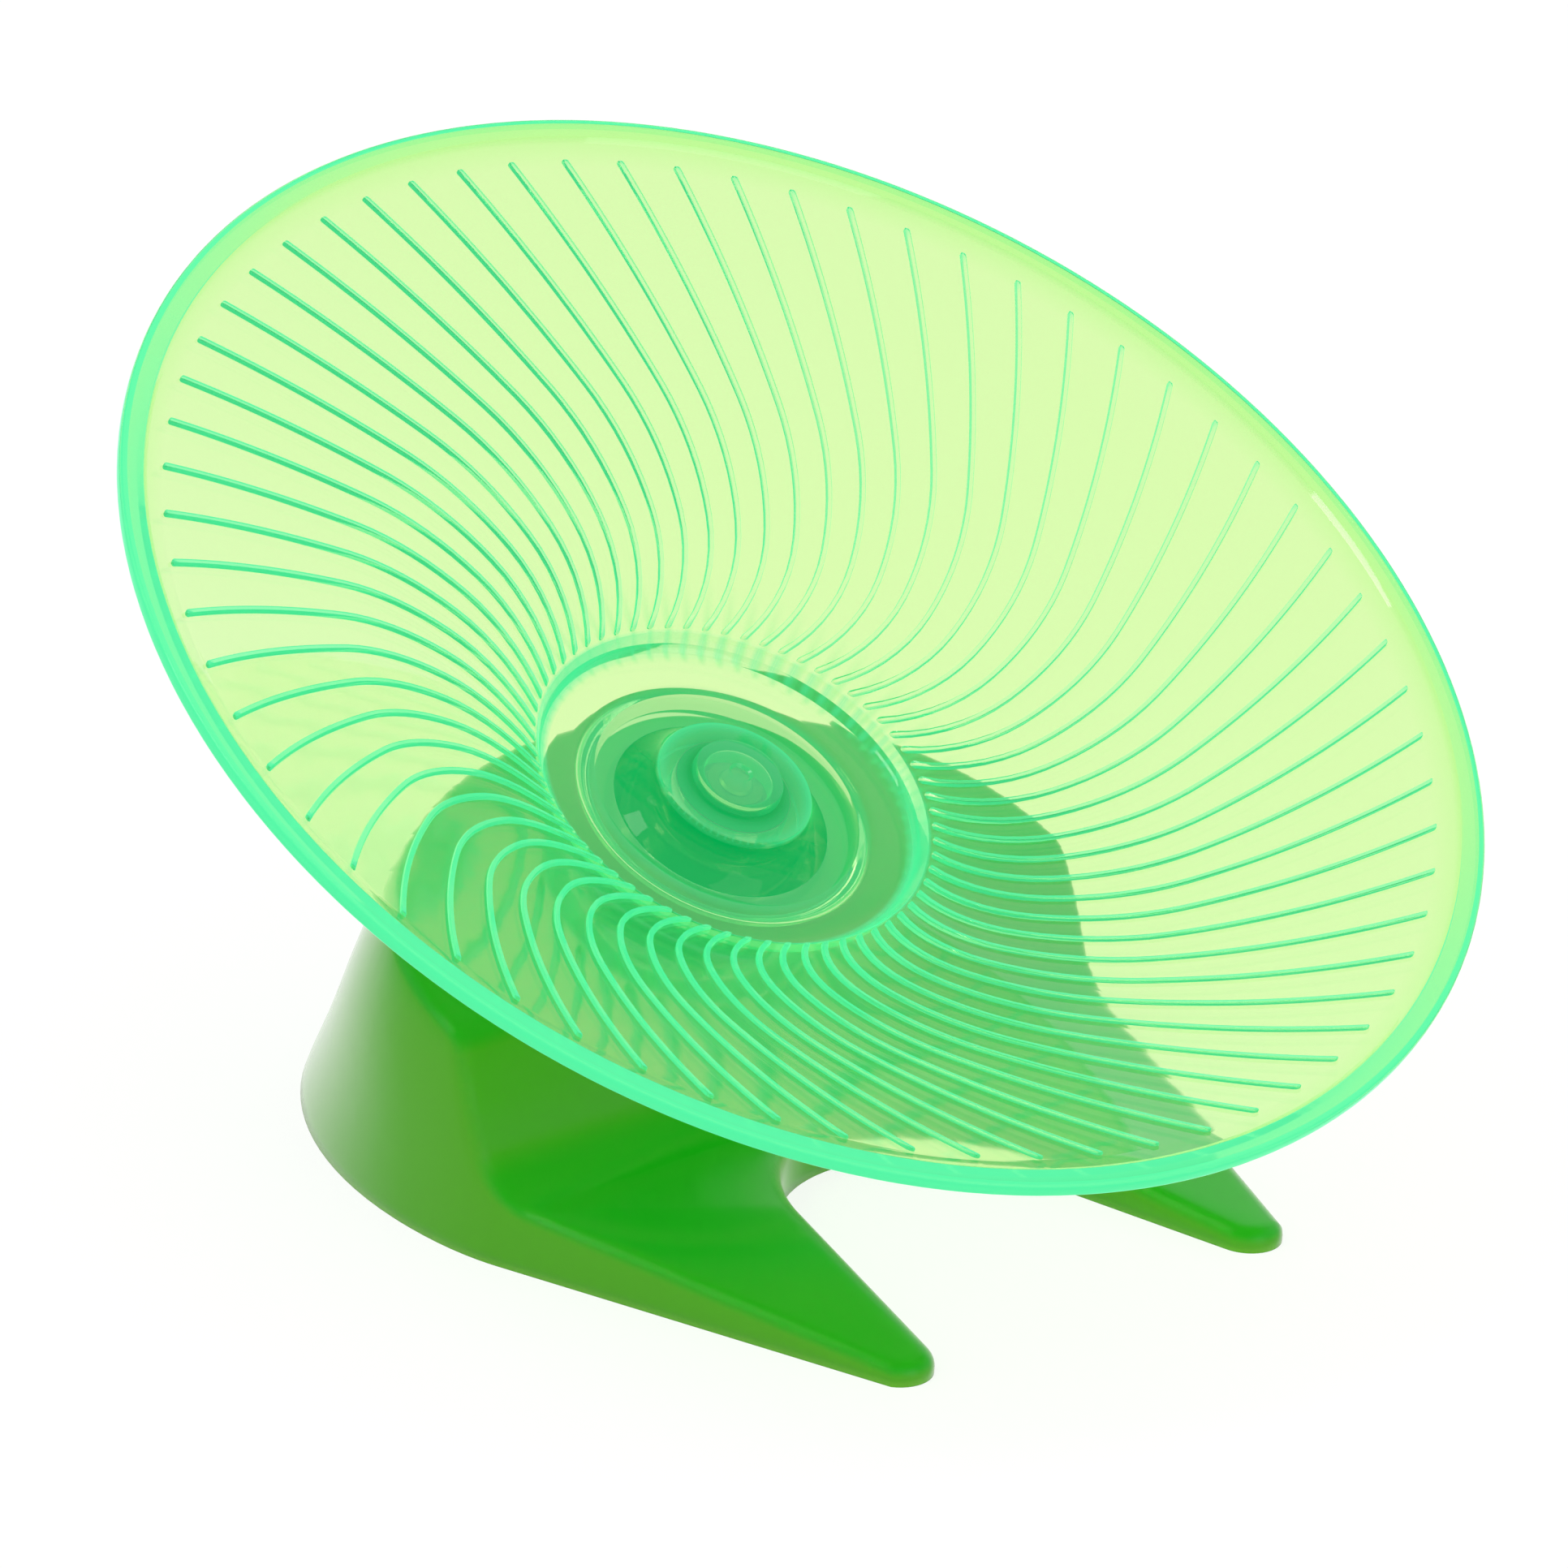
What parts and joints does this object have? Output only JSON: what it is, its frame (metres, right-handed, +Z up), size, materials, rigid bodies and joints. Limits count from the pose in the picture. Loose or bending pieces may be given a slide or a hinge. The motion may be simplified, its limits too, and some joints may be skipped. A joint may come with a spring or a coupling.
{
  "type": "flying saucer wheel",
  "caption": "Tilted translucent running dish with curved ribs, spinning on a small ball bearing above a glossy two-footed plastic stand.",
  "frame": {"origin": "on the floor, below the middle of the whole wheel's bounding box", "axes": "+Z up, the dish faces up and leans towards -Y where the two feet are, +X to the right"},
  "size_m": [0.1904, 0.1687, 0.122],
  "materials": {
    "dish_plastic": "glossy translucent yellow-green plastic",
    "stand_plastic": "glossy opaque green",
    "ground_steel": "ground",
    "pressed_steel": "pressed, satin",
    "ball_steel": "polished"
  },
  "bodies": {
    "stand_body": {"stand": "stand_plastic", "axle_pin": "ground_steel", "axle_spacer": "pressed_steel", "bearing_inner_ring": "ground_steel", "axle_washer": "pressed_steel", "axle_clip": "pressed_steel"},
    "saucer_body": {"saucer": "dish_plastic", "bearing_outer_ring": "ground_steel", "bearing_shield_upper": "pressed_steel", "bearing_shield_lower": "pressed_steel", "bearing_retainer": "stand_plastic"},
    "ball_body": {"bearing_balls": "ball_steel", "bearing_cage_upper": "pressed_steel", "bearing_cage_lower": "pressed_steel", "bearing_cage_rivets": "pressed_steel"}
  },
  "joints": [
    {"name": "saucer_spin", "type": "hinge", "parent": "stand_body", "child": "saucer_body", "pos_m": [0, 0.01688, 0.04496], "axis": [0, -0.4695, 0.8829], "continuous": true},
    {"name": "cage_spin", "type": "hinge", "parent": "stand_body", "child": "ball_body", "pos_m": [0, 0.01688, 0.04496], "axis": [0, -0.4695, 0.8829], "continuous": true}
  ],
  "couplings": [
    {"joint": "cage_spin", "follows": "saucer_spin", "ratio": 0.6512}
  ]
}
